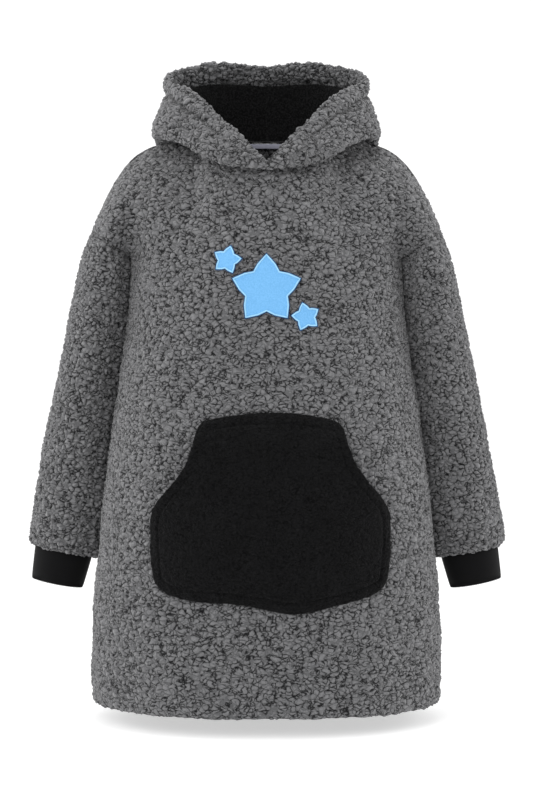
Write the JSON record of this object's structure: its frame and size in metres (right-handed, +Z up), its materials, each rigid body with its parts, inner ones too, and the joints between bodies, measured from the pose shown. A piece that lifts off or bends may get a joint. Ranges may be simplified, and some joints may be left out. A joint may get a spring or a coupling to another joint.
{
  "type": "pull-on hooded bathrobe",
  "caption": "Child's pull-on hooded robe of curly fleece in its hollow worn form, with a kangaroo pocket, rib cuffs and star appliques.",
  "frame": {"origin": "middle of the wearer's shoulders at the base of the neck, from which the robe hangs", "axes": "+X towards the right side of a viewer who faces the front, +Y towards the back, +Z up along the body"},
  "size_m": [0.622, 0.3312, 0.8353],
  "materials": {
    "curly_fleece": "dark grey curly sherpa fleece, matte with a soft nap",
    "black_fleece": "black teddy fleece, matte",
    "black_lining": "smooth black knit lining, matte",
    "black_rib": "black rib knit, matte",
    "neck_tape": "light grey woven tape",
    "blue_felt": "light blue felt with a satin stitched edge"
  },
  "bodies": {
    "root": {"front_panel": "curly_fleece", "back_panel": "curly_fleece", "sleeve_right": "curly_fleece", "sleeve_left": "curly_fleece", "hood_right": "curly_fleece", "hood_left": "curly_fleece", "hood_lining_right": "black_lining", "hood_lining_left": "black_lining", "cuff_right": "black_rib", "cuff_left": "black_rib", "pocket": "black_fleece", "neck_tape": "neck_tape", "applique_star_large": "blue_felt", "applique_star_left": "blue_felt", "applique_star_right": "blue_felt"}
  },
  "joints": []
}
